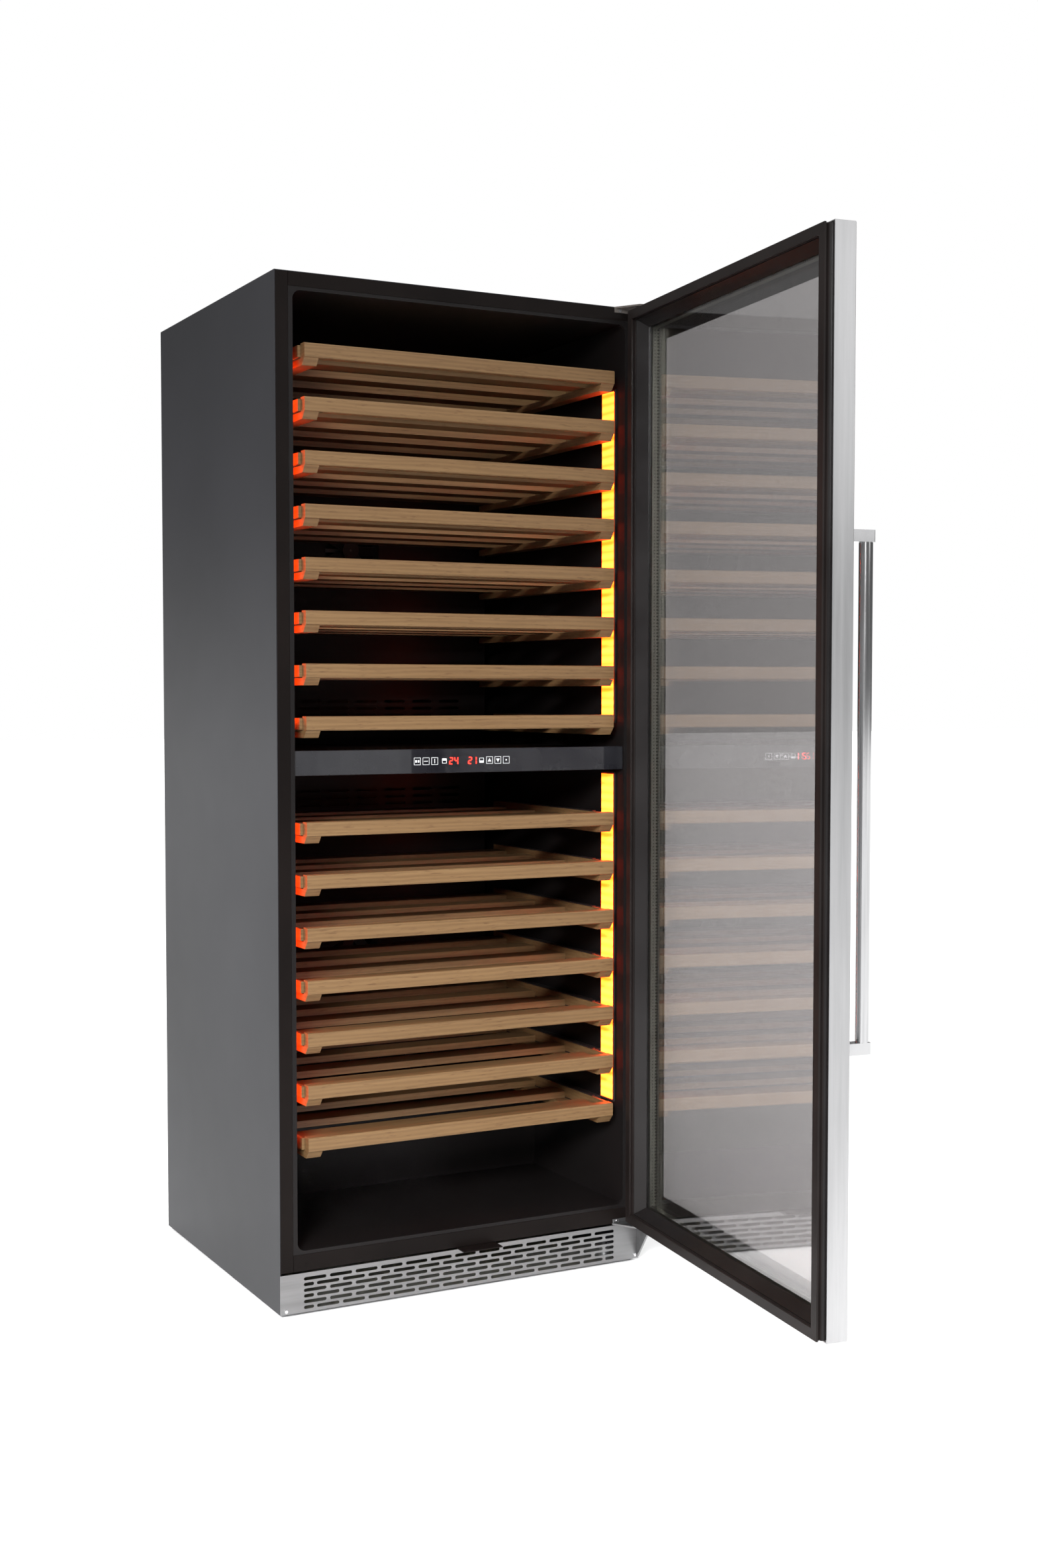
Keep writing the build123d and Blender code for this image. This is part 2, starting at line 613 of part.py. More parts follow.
with BuildPart() as compressor:
    with Locations((COMPRESSOR_X, COMPRESSOR_Y, SHELL_LOW)):
        Cylinder(SHELL_R, SHELL_HIGH, align=STANDING)
    fillet(edges().filter_by(GeomType.CIRCLE), SHELL_ROUND)
    block(
        COMPRESSOR_X - PLATE_HALF_X,
        COMPRESSOR_X + PLATE_HALF_X,
        COMPRESSOR_Y - PLATE_HALF_Y,
        COMPRESSOR_Y + PLATE_HALF_Y,
        PLATE_LOW,
        PLATE_TOP,
    )
    block(
        TERMINAL_LEFT,
        TERMINAL_LEFT + TERMINAL_WIDE,
        COMPRESSOR_Y - TERMINAL_HALF,
        COMPRESSOR_Y + TERMINAL_HALF,
        TERMINAL_LOW,
        TERMINAL_LOW + TERMINAL_HIGH,
    )
    with Locations((COMPRESSOR_X, COMPRESSOR_Y, BASE + PAN_THICK + 0.1)):
        with GridLocations(2 * PLATE_HALF_X - 30, 2 * PLATE_HALF_Y - 30, 2, 2):
            Cylinder(MOUNT_R, MOUNT_HIGH, align=STANDING)
save(compressor.part, "compressor")

COIL_X = -215.0
COIL_HALF = 40.0
COIL_FRONT = FRONT + 400.0
COIL_BACK = FRONT + 590.0
COIL_LOW = BASE + 6.0
COIL_TOP = BASE + 188.0
COIL_PLATE = 1.5
PIPE_R = 4.0

with BuildPart() as condenser:
    for plate_y in (COIL_FRONT - COIL_PLATE, COIL_BACK):
        block(COIL_X - COIL_HALF, COIL_X + COIL_HALF, plate_y, plate_y + COIL_PLATE, COIL_LOW, COIL_TOP)
    coil_middle = (COIL_X, (COIL_FRONT + COIL_BACK) / 2, (COIL_LOW + COIL_TOP) / 2)
    with Locations(Location(coil_middle, (90, 0, 0))):
        with GridLocations(6 * PIPE_R, 6.5 * PIPE_R, 3, 6):
            Cylinder(PIPE_R, COIL_BACK - COIL_FRONT - 0.4)
save(condenser.part, "condenser")

TRAY_LEFT = -100.0
TRAY_RIGHT = 65.0
TRAY_WALL = 2.0
TRAY_LOW = BASE + PAN_THICK + 0.2
TRAY_TOP = BASE + 36.0

with BuildPart() as drip_tray:
    block(TRAY_LEFT, TRAY_RIGHT, COIL_FRONT, COIL_BACK, TRAY_LOW, TRAY_TOP)
    block(
        TRAY_LEFT + TRAY_WALL,
        TRAY_RIGHT - TRAY_WALL,
        COIL_FRONT + TRAY_WALL,
        COIL_BACK - TRAY_WALL,
        TRAY_LOW + TRAY_WALL,
        TRAY_TOP + TRAY_WALL,
        mode=Mode.SUBTRACT,
    )
save(drip_tray.part, "drip_tray")

INLET_X = -295.0
INLET_Z = BASE + 178.0
INLET_HALF_X = 15.0
INLET_HALF_Z = 11.0
INLET_DEEP = 24.0
INLET_WALL = 3.0
RECESS_DEEP = 16.0
BLADE_SPOTS = [(-7, -2), (7, -2), (0, 3)]
COVER_HALF = SHEET_HALF
COVER_LOW = BASE + 8.0
VENT_LONG = 46.0
VENT_WIDE = 6.0
VENT_Z = BASE + 105.0

with BuildPart() as machine_cover:
    block(-COVER_HALF, COVER_HALF, PANEL_BACK - SHEET, PANEL_BACK, COVER_LOW, MACHINE_TOP)
    with BuildSketch(Plane.XZ.offset(-PANEL_BACK)):
        for group_x in (-90, 180):
            with Locations((group_x, VENT_Z)):
                with GridLocations(VENT_WIDE + 8, VENT_LONG + 14, 14, 2):
                    SlotOverall(VENT_LONG, VENT_WIDE, rotation=90)
        with Locations((INLET_X, INLET_Z)):
            Rectangle(2 * (INLET_HALF_X + FIT_GAP), 2 * (INLET_HALF_Z + FIT_GAP))
    extrude(amount=5 * SHEET, both=True, mode=Mode.SUBTRACT)
save(machine_cover.part, "machine_cover")

# Appliance inlet: three flat blades in a recess that opens to the rear
with BuildPart() as power_inlet:
    block(
        INLET_X - INLET_HALF_X,
        INLET_X + INLET_HALF_X,
        PANEL_BACK - INLET_DEEP,
        PANEL_BACK,
        INLET_Z - INLET_HALF_Z,
        INLET_Z + INLET_HALF_Z,
    )
    block(
        INLET_X - INLET_HALF_X + INLET_WALL,
        INLET_X + INLET_HALF_X - INLET_WALL,
        PANEL_BACK - RECESS_DEEP,
        PANEL_BACK + 2,
        INLET_Z - INLET_HALF_Z + INLET_WALL,
        INLET_Z + INLET_HALF_Z - INLET_WALL,
        mode=Mode.SUBTRACT,
    )
    for blade_x, blade_z in BLADE_SPOTS:
        blade_low = PANEL_BACK - RECESS_DEEP - 2
        with Locations((INLET_X + blade_x, blade_low, INLET_Z + blade_z)):
            Box(2, 10, 5, align=(Align.CENTER, Align.MIN, Align.CENTER))
save(power_inlet.part, "power_inlet")

HEAD_R = 3.0
HEAD_THICK = 1.5
BRACKET_SCREW_X = (HALF_W - 45, HALF_W - 15)
BRACKET_SCREW_Z = (TOP - 6.6, BASE + 74.6)
PANEL_SCREW_Z = (BASE + 240, BASE + 980, BASE + 1710)
COVER_SCREW_Z = (COVER_LOW + 12, MACHINE_TOP - 12)
FRONT_SCREWS = [(x, FRONT - 2, z) for x in BRACKET_SCREW_X for z in BRACKET_SCREW_Z]
FRONT_SCREWS += [(10 - HALF_W, FRONT - SHEET, BASE + 5.5), (HALF_W - 7, FRONT - SHEET, BASE + 6.5)]
BACK_SCREWS = [(x, PANEL_BACK, z) for x in (-320, 320) for z in COVER_SCREW_Z]
BACK_SCREWS += [(x, PANEL_BACK, z) for x in (-340, 340) for z in PANEL_SCREW_Z]

with BuildPart() as screws:
    for spot in FRONT_SCREWS:
        with Locations(Location(spot, (90, 0, 0))):
            Cylinder(HEAD_R, HEAD_THICK, align=STANDING)
    for spot in BACK_SCREWS:
        with Locations(Location(spot, (90, 0, 0))):
            Cylinder(HEAD_R + 1, HEAD_THICK, align=HANGING)
save(screws.part, "screws")


PAD_R = 18.0
PAD_HIGH = 5.5
STUD_TOP = 30.0


def foot_part():
    """Screw foot: round pad and a stud that turns in the base pan."""
    with BuildPart() as foot:
        Cylinder(PAD_R, PAD_HIGH, align=STANDING)
        chamfer(edges().filter_by(GeomType.CIRCLE), 1)
        Cylinder(STUD_R, STUD_TOP, align=STANDING)
    return foot.part


foot_spots = [(-FOOT_X, -FOOT_Y), (FOOT_X, -FOOT_Y), (-FOOT_X, FOOT_Y), (FOOT_X, FOOT_Y)]
for number, (foot_x, foot_y) in enumerate(foot_spots, start=1):
    foot = Location((foot_x, foot_y, 0)) * foot_part()
    save(foot, f"foot_{number}")

# ---------------------------------------------------------------- door

SKIN_THICK = 1.5
SKIN_WIDE = 58.0
SKIN_BACK = 16.0
SKIN_EDGE = 1.2
BUSH_HOLE_R = BUSH_R + 0.1
BUSH_LONG = 24.0

skin_bars = door_ring(
    [
        (0, SKIN_BACK),
        (0, DOOR_FACE - SKIN_EDGE),
        (SKIN_EDGE, DOOR_FACE),
        (SKIN_WIDE, DOOR_FACE),
        (SKIN_WIDE, DOOR_FACE - SKIN_THICK),
        (SKIN_THICK, DOOR_FACE - SKIN_THICK),
        (SKIN_THICK, SKIN_BACK),
    ],
    SKIN_WIDE,
)

with BuildPart() as door_skin:
    add(skin_bars)
    with Locations((PIVOT_X, PIVOT_Y, DOOR_TOP), (PIVOT_X, PIVOT_Y, DOOR_LOW)):
        Cylinder(BUSH_HOLE_R, 4 * SKIN_THICK, mode=Mode.SUBTRACT)
save(door_skin.part, "door_skin")

PANE_INSET = 22.0
REBATE = 21.5
INNER_PANE_BACK = 30.0
INNER_PANE_FRONT = 34.0
OUTER_PANE_BACK = 46.0
OUTER_PANE_FRONT = 50.0
FRAME_FACE = 50.3
FRAME_REAR = 10.0
FRAME_REACH = 34.0

frame_bars = door_ring(
    [
        (1.8, SKIN_BACK + 0.4),
        (1.8, FRAME_FACE),
        (REBATE, FRAME_FACE),
        (REBATE, INNER_PANE_BACK - FIT_GAP),
        (FRAME_REACH, INNER_PANE_BACK - FIT_GAP),
        (FRAME_REACH, INNER_PANE_BACK - 2.5),
        (20, FRAME_REAR),
        (4, FRAME_REAR),
        (4, SKIN_BACK + 0.4),
    ],
    FRAME_REACH,
)

with BuildPart() as door_inner_frame:
    add(frame_bars)
    with Locations((PIVOT_X, PIVOT_Y, DOOR_TOP), (PIVOT_X, PIVOT_Y, DOOR_LOW)):
        Cylinder(BUSH_HOLE_R, 2 * BUSH_LONG + 2, mode=Mode.SUBTRACT)
save(door_inner_frame.part, "door_inner_frame")

# Gasket section: two ribbed flanks and a flat face towards the cabinet
GASKET_REACH = 20.0

gasket_bars = door_ring(
    [
        (4.2, 9.9),
        (18.8, 9.9),
        (18.8, 8.3),
        (16.8, 7.2),
        (18.8, 6.1),
        (16.8, 5.0),
        (19.5, 3.8),
        (19.5, 0.6),
        (3.5, 0.6),
        (3.5, 3.8),
        (6.2, 5.0),
        (4.2, 6.1),
        (6.2, 7.2),
        (4.2, 8.3),
    ],
    GASKET_REACH,
)

with BuildPart() as door_gasket:
    add(gasket_bars)
save(door_gasket.part, "door_gasket")

PANE_LEFT = DOOR_LEFT + PANE_INSET
PANE_RIGHT = DOOR_RIGHT - PANE_INSET
PANE_LOW = DOOR_LOW + PANE_INSET
PANE_TOP = DOOR_TOP - PANE_INSET

with BuildPart() as glass_outer:
    door_block(PANE_LEFT, PANE_RIGHT, OUTER_PANE_BACK, OUTER_PANE_FRONT, PANE_LOW, PANE_TOP)
save(glass_outer.part, "glass_outer")

with BuildPart() as glass_inner:
    door_block(PANE_LEFT, PANE_RIGHT, INNER_PANE_BACK, INNER_PANE_FRONT, PANE_LOW, PANE_TOP)
save(glass_inner.part, "glass_inner")

SPACER_OUT = PANE_INSET + 2.0
SPACER_IN = SPACER_OUT + 12.0
SPACER_BACK = INNER_PANE_FRONT + 0.1
SPACER_FRONT = OUTER_PANE_BACK - 0.1

spacer_bars = door_ring(
    [
        (SPACER_OUT, SPACER_BACK),
        (SPACER_OUT, SPACER_FRONT),
        (SPACER_IN, SPACER_FRONT),
        (SPACER_IN, SPACER_BACK),
    ],
    SPACER_IN,
)

with BuildPart() as glass_spacer:
    add(spacer_bars)
save(glass_spacer.part, "glass_spacer")

# Vertical tube handle between two posts near the free edge
HANDLE_X = DOOR_LEFT + 35.0
HANDLE_OUT = DOOR_FACE + 41.0
HANDLE_R = 10.5
HANDLE_LOW = BASE + 516.0
HANDLE_TOP = BASE + 1263.0
POST_HIGH = 18.0
POST_HALF = 10.0
POST_OUT = DOOR_FACE + 52.0

with BuildPart() as handle_bar:
    with Locations(DOOR_FRAME * Location((HANDLE_X, PIVOT_OUT - HANDLE_OUT, HANDLE_LOW))):
        Cylinder(HANDLE_R, HANDLE_TOP - HANDLE_LOW, align=STANDING)
save(handle_bar.part, "handle_bar")

with BuildPart() as handle_posts:
    for post_low in (HANDLE_LOW - POST_HIGH, HANDLE_TOP):
        post_top = post_low + POST_HIGH
        door_block(HANDLE_X - POST_HALF, HANDLE_X + POST_HALF, DOOR_FACE, POST_OUT, post_low, post_top)
    chamfer(edges().filter_by(Axis.Z), 2)
save(handle_posts.part, "handle_posts")

with BuildPart() as hinge_bushes:
    for bush_low in (DOOR_LOW, DOOR_TOP - BUSH_LONG):
        with Locations((PIVOT_X, PIVOT_Y, bush_low)):
            Cylinder(BUSH_R, BUSH_LONG, align=STANDING)
            Cylinder(PIN_R + PIN_PLAY, 3 * BUSH_LONG, mode=Mode.SUBTRACT)
save(hinge_bushes.part, "hinge_bushes")
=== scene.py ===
from math import radians

import bmesh
import bpy
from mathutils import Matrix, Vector


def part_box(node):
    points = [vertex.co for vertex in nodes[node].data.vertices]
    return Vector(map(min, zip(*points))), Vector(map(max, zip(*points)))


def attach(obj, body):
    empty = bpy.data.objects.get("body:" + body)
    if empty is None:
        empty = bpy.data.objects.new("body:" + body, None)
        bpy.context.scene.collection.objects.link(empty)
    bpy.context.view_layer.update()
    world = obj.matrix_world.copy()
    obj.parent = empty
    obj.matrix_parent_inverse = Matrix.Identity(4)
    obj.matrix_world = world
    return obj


# Looks of the wine cooler. Metres, in the CAD frame: +Z up, front faces -Y.
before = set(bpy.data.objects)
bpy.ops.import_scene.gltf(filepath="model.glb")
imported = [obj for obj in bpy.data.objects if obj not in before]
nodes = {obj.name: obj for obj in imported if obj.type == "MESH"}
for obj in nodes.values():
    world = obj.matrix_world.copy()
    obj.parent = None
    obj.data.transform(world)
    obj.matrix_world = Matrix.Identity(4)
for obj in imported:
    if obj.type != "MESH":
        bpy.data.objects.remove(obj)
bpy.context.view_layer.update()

# ---------------------------------------------------------------- material helpers


class Finish:
    """A procedural material and short calls that add nodes to it."""

    def __init__(self, name, **inputs):
        self.material = bpy.data.materials.new(name)
        self.material.use_nodes = True
        self.tree = self.material.node_tree
        self.shader = self.tree.nodes["Principled BSDF"]
        for key, value in inputs.items():
            self.shader.inputs[key.replace("_", " ")].default_value = value
        self.coords = self.tree.nodes.new("ShaderNodeTexCoord").outputs["Object"]

    def add(self, kind, **settings):
        """New node; settings name its properties or its input sockets."""
        node = self.tree.nodes.new(kind)
        for key, value in settings.items():
            if hasattr(node, key):
                setattr(node, key, value)
            else:
                node.inputs[key.replace("_", " ")].default_value = value
        return node

    def join(self, output, target):
        self.tree.links.new(output, target)

    def stretched(self, scale):
        """Object coordinates scaled along each axis."""
        mapping = self.add("ShaderNodeMapping")
        mapping.inputs["Scale"].default_value = scale
        self.join(self.coords, mapping.inputs["Vector"])
        return mapping.outputs["Vector"]

    def noise(self, scale, detail=4.0, stretch=(1, 1, 1), roughness=0.5):
        texture = self.add("ShaderNodeTexNoise", Scale=scale, Detail=detail, Roughness=roughness)
        self.join(self.stretched(stretch), texture.inputs["Vector"])
        return texture.outputs["Fac"]

    def blend(self, first, second, share):
        """Weighted mean of two values; share is the second one's weight."""
        mix = self.add("ShaderNodeMix", data_type="FLOAT", Factor=share)
        self.join(first, mix.inputs["A"])
        self.join(second, mix.inputs["B"])
        return mix.outputs["Result"]

    def ramp(self, value, stops):
        """Colour ramp from (position, colour) stops."""
        ramp = self.add("ShaderNodeValToRGB")
        elements = ramp.color_ramp.elements
        while len(elements) < len(stops):
            elements.new(0.5)
        for element, (position, colour) in zip(elements, stops):
            element.position = position
            element.color = (*colour, 1)
        self.join(value, ramp.inputs["Fac"])
        return ramp.outputs["Color"]

    def spread(self, value, low, high):
        """Maps a 0 to 1 value to the range low to high."""
        span = self.add("ShaderNodeMapRange")
        span.inputs["To Min"].default_value = low
        span.inputs["To Max"].default_value = high
        self.join(value, span.inputs["Value"])
        return span.outputs["Result"]

    def colour(self, output):
        self.join(output, self.shader.inputs["Base Color"])

    def rough(self, value, low, high):
        self.join(self.spread(value, low, high), self.shader.inputs["Roughness"])

    def bump(self, height, distance, strength):
        bump = self.add("ShaderNodeBump", Distance=distance, Strength=strength)
        self.join(height, bump.inputs["Height"])
        self.join(bump.outputs["Normal"], self.shader.inputs["Normal"])


# ---------------------------------------------------------------- sheet metal and steel


def painted_sheet():
    """Satin charcoal paint with a fine orange-peel skin."""
    finish = Finish("painted_sheet", IOR=1.2)
    tint = finish.noise(scale=2.2, detail=2.0)
    finish.colour(finish.ramp(tint, [(0.3, (0.017, 0.017, 0.019)), (0.7, (0.023, 0.023, 0.026))]))
    finish.rough(finish.noise(scale=9.0), low=0.36, high=0.42)
    finish.bump(finish.noise(scale=900.0, detail=2.0), distance=0.00006, strength=0.5)
    return finish.material


def galvanised_sheet():
    """Zinc-coated steel with a soft spangle."""
    finish = Finish("galvanised_sheet", Metallic=0.85)
    spangle = finish.add("ShaderNodeTexVoronoi", Scale=70.0)
    finish.join(finish.coords, spangle.inputs["Vector"])
    zinc = [(0.0, (0.25, 0.255, 0.262)), (0.6, (0.35, 0.357, 0.365))]
    finish.colour(finish.ramp(spangle.outputs["Distance"], zinc))
    finish.rough(spangle.outputs["Distance"], low=0.35, high=0.5)
    return finish.material


def brushed(name, stretch, dark, light, roughness=(0.24, 0.38)):
    """Brushed metal; stretch is small along the brushing."""
    finish = Finish(name, Metallic=1.0, Anisotropic=0.5)
    strokes = finish.noise(scale=60.0, detail=6.0, stretch=stretch, roughness=0.65)
    broad = finish.noise(scale=3.0, detail=2.0)
    finish.colour(finish.ramp(finish.blend(strokes, broad, share=0.25), [(0.3, dark), (0.7, light)]))
    finish.rough(strokes, *roughness)
    finish.bump(strokes, distance=0.00004, strength=0.35)
    return finish.material


def polished_steel():
    """Mirror-bright tube with faint drawn lines."""
    finish = Finish("polished_steel", Metallic=1.0)
    lines = finish.noise(scale=40.0, detail=4.0, stretch=(6, 6, 0.15))
    finish.colour(finish.ramp(lines, [(0.3, (0.48, 0.48, 0.487)), (0.7, (0.60, 0.60, 0.608))]))
    finish.rough(lines, low=0.08, high=0.16)
    return finish.material


def spacer_metal():
    """Bare aluminium spacer with the small round breather holes of a sealed pane; the holes are dark spots
    of painted shade.
    """
    finish = Finish("spacer_metal", Metallic=0.9, Roughness=0.35)
    holes = finish.add("ShaderNodeTexVoronoi", Scale=170.0, Randomness=0.0)
    finish.join(finish.coords, holes.inputs["Vector"])
    # The dark hole colour is painted shade inside the breather holes
    shaded_hole_and_metal = [(0.22, (0.06, 0.065, 0.055)), (0.32, (0.27, 0.28, 0.24))]
    finish.colour(finish.ramp(holes.outputs["Distance"], shaded_hole_and_metal))
    return finish.material


# ---------------------------------------------------------------- plastics, foam and wood

MOULD_GRAIN_DEPTH = 0.00004


def moulded(name, dark, light, low=0.35, high=0.5, grain=700.0, gloss=1.45):
    """Moulded plastic or rubber with a fine grain; gloss is its index of refraction."""
    finish = Finish(name, IOR=gloss, Specular_IOR_Level=0.3)
    shade = finish.noise(scale=5.0, detail=3.0)
    finish.colour(finish.ramp(shade, [(0.35, dark), (0.65, light)]))
    finish.rough(finish.noise(scale=30.0), low, high)
    finish.bump(finish.noise(grain, detail=2.0), MOULD_GRAIN_DEPTH, strength=0.6)
    return finish.material


def foam():
    """Rigid polyurethane foam."""
    finish = Finish("foam", Roughness=0.95)
    cells = finish.noise(scale=260.0, detail=5.0)
    finish.colour(finish.ramp(cells, [(0.3, (0.55, 0.47, 0.25)), (0.7, (0.75, 0.66, 0.40))]))
    finish.bump(cells, distance=0.0006, strength=0.8)
    return finish.material


def beech():
    """Oiled beech: long soft grain along the shelf with short dark pore flecks."""
    finish = Finish("beech", IOR=1.35, Coat_Weight=0.05, Coat_Roughness=0.35)
    patches = finish.noise(scale=5.0, detail=3.0, stretch=(0.25, 3, 3))
    rings = finish.add("ShaderNodeTexWave", wave_type="BANDS", bands_direction="Z", Scale=9.0)
    rings.inputs["Distortion"].default_value = 6.0
    rings.inputs["Detail"].default_value = 3.0
    rings.inputs["Detail Scale"].default_value = 1.5
    finish.join(finish.stretched((0.35, 3.0, 5.0)), rings.inputs["Vector"])
    grain = finish.noise(scale=140.0, detail=5.0, stretch=(0.05, 1, 1), roughness=0.7)
    pores = finish.noise(scale=420.0, detail=2.0, stretch=(0.10, 1, 1))
    fibres = finish.blend(rings.outputs["Fac"], grain, share=0.72)
    tone = finish.blend(fibres, patches, share=0.35)
    stops = [(0.3, (0.090, 0.049, 0.019)), (0.5, (0.117, 0.066, 0.027)), (0.7, (0.140, 0.082, 0.035))]
    flecks = finish.ramp(pores, [(0.60, (1, 1, 1)), (0.72, (0.55, 0.45, 0.38))])
    wood = finish.add("ShaderNodeMix", data_type="RGBA", blend_type="MULTIPLY")
    wood.inputs["Factor"].default_value = 0.7
    finish.join(finish.ramp(tone, stops), wood.inputs["A"])
    finish.join(flecks, wood.inputs["B"])
    finish.colour(wood.outputs["Result"])
    finish.rough(grain, low=0.42, high=0.6)
    finish.bump(grain, distance=0.00012, strength=0.5)
    return finish.material


def pale_floor():
    """Plain white studio floor."""
    finish = Finish("pale_floor", Roughness=0.7)
    tone = finish.noise(scale=1.5, detail=2.0)
    finish.colour(finish.ramp(tone, [(0.3, (0.90, 0.90, 0.90)), (0.7, (0.92, 0.92, 0.92))]))
    return finish.material


# ---------------------------------------------------------------- glass and lights

# Share of the mirror image in a pane seen straight on and edge on, and how late it grows between them
MIRROR_FACING = 0.05
MIRROR_GLANCING = 0.85
MIRROR_GROWTH = 2.2
FILM_SCALE = 3.0
FILM_FADE = 0.985
LIGHT_POWER = 14.0
SYMBOL_FADE = 0.85


def black_glass():
    """Gloss black control glass with a faint haze."""
    finish = Finish("black_glass", IOR=1.4)
    haze = finish.noise(scale=14.0, detail=3.0)
    finish.colour(finish.ramp(haze, [(0.3, (0.006, 0.006, 0.008)), (0.7, (0.012, 0.012, 0.014))]))
    finish.rough(haze, low=0.02, high=0.03)
    return finish.material


def clear_glass(name, tint):
    """Pane that light passes straight through, with a mirror image that grows at glancing angles."""
    material = bpy.data.materials.new(name)
    material.use_nodes = True
    tree = material.node_tree
    tree.nodes.clear()
    output = tree.nodes.new("ShaderNodeOutputMaterial")
    through = tree.nodes.new("ShaderNodeBsdfTransparent")
    film = tree.nodes.new("ShaderNodeTexNoise")
    film.inputs["Scale"].default_value = FILM_SCALE
    shade = tree.nodes.new("ShaderNodeMix")
    shade.data_type = "RGBA"
    shade.inputs["A"].default_value = (*tint, 1)
    shade.inputs["B"].default_value = (*[FILM_FADE * part for part in tint], 1)
    tree.links.new(film.outputs["Fac"], shade.inputs["Factor"])
    tree.links.new(shade.outputs["Result"], through.inputs["Color"])
    mirror = tree.nodes.new("ShaderNodeBsdfGlossy")
    mirror.inputs["Roughness"].default_value = 0.0
    facing = tree.nodes.new("ShaderNodeLayerWeight")
    facing.inputs["Blend"].default_value = 0.5
    glancing = tree.nodes.new("ShaderNodeMath")
    glancing.operation = "POWER"
    glancing.inputs[1].default_value = MIRROR_GROWTH
    share = tree.nodes.new("ShaderNodeMapRange")
    share.inputs["To Min"].default_value = MIRROR_FACING
    share.inputs["To Max"].default_value = MIRROR_GLANCING
    mix = tree.nodes.new("ShaderNodeMixShader")
    tree.links.new(facing.outputs["Facing"], glancing.inputs[0])
    tree.links.new(glancing.outputs["Value"], share.inputs["Value"])
    tree.links.new(share.outputs["Result"], mix.inputs["Fac"])
    tree.links.new(through.outputs["BSDF"], mix.inputs[1])
    tree.links.new(mirror.outputs["BSDF"], mix.inputs[2])
    tree.links.new(mix.outputs["Shader"], output.inputs["Surface"])
    return material


def amber_light():
    """Warm LED strip seen through a milky lens, brightest at each lamp."""
    finish = Finish("amber_light", Roughness=0.4, Base_Color=(0.9, 0.4, 0.08, 1))
    lamps = finish.add("ShaderNodeTexWave", wave_type="BANDS", bands_direction="Z", Scale=20.0)
    finish.join(finish.coords, lamps.inputs["Vector"])
    glow = finish.ramp(lamps.outputs["Fac"], [(0.0, (1.0, 0.034, 0.0006)), (1.0, (1.0, 0.078, 0.0055))])
    finish.join(glow, finish.shader.inputs["Emission Color"])
    finish.shader.inputs["Emission Strength"].default_value = LIGHT_POWER
    return finish.material


def lit_symbol(name, colour, strength):
    """Printed or lit symbol on the control glass."""
    finish = Finish(name, Base_Color=(*colour, 1))
    finish.shader.inputs["Emission Strength"].default_value = strength
    flicker = finish.noise(scale=600.0, detail=2.0)
    faded = tuple(SYMBOL_FADE * part for part in colour)
    tone = finish.ramp(flicker, [(0.3, faded), (0.7, colour)])
    finish.join(tone, finish.shader.inputs["Emission Color"])
    return finish.material


# ---------------------------------------------------------------- which node wears which finish

ALONG_X = (0.03, 0.9, 0.9)
ALONG_Z = (0.9, 0.9, 0.03)
NO_BRUSHING = (0.3, 0.3, 0.3)
COIL_GRAIN = (1, 1, 1)
PANE_TINT = (0.890, 0.880, 0.880)

steel_up = brushed("stainless_upright", ALONG_Z, dark=(0.36, 0.36, 0.366), light=(0.51, 0.51, 0.516))
# Same stainless steel as the door skin at about half its brightness: painted shade on the kick grille and
# bottom hinge
shaded_steel_across = brushed("stainless_across_shaded", ALONG_X, dark=(0.17, 0.17, 0.172), light=(0.27, 0.27, 0.273))
bright_post = brushed(
    "bright_post", NO_BRUSHING, dark=(0.50, 0.50, 0.507), light=(0.62, 0.62, 0.627), roughness=(0.16, 0.26)
)
coil_metal = brushed("coil_metal", COIL_GRAIN, dark=(0.45, 0.45, 0.46), light=(0.6, 0.6, 0.6))

hinge_paint = moulded(
    "hinge_paint", dark=(0.060, 0.052, 0.046), light=(0.095, 0.085, 0.078), low=0.3, high=0.42
)
frame_black = moulded(
    "frame_black",
    dark=(0.0035, 0.0026, 0.0024),
    light=(0.0055, 0.0040, 0.0036),
    low=0.30,
    high=0.36,
    gloss=1.2,
)
liner_black = moulded(
    "liner_black",
    dark=(0.0050, 0.0042, 0.0042),
    light=(0.0066, 0.0056, 0.0056),
    low=0.30,
    high=0.34,
    gloss=1.3,
)
rail_black = moulded(
    "rail_black", dark=(0.012, 0.010, 0.010), light=(0.020, 0.017, 0.016), low=0.3, high=0.42, gloss=1.35
)
gasket_rubber = moulded(
    "gasket_rubber",
    dark=(0.006, 0.0046, 0.0043),
    light=(0.011, 0.0082, 0.0076),
    low=0.4,
    high=0.5,
    grain=400.0,
    gloss=1.3,
)
door_plastic = moulded(
    "door_plastic", dark=(0.006, 0.005, 0.005), light=(0.010, 0.009, 0.009), low=0.16, high=0.26, gloss=1.35
)
board_plastic = moulded("board_plastic", dark=(0.03, 0.03, 0.03), light=(0.045, 0.045, 0.045))
foot_plastic = moulded("foot_plastic", dark=(0.02, 0.02, 0.02), light=(0.03, 0.03, 0.03))
bush_plastic = moulded("bush_plastic", dark=(0.5, 0.5, 0.48), light=(0.6, 0.6, 0.58))
shell_paint = moulded(
    "shell_paint", dark=(0.012, 0.012, 0.012), light=(0.02, 0.02, 0.02), low=0.2, high=0.3
)

shelves = [name for name in nodes if name.startswith("shelf_") and name != "shelf_rails"]
feet = [name for name in nodes if name.startswith("foot_")]

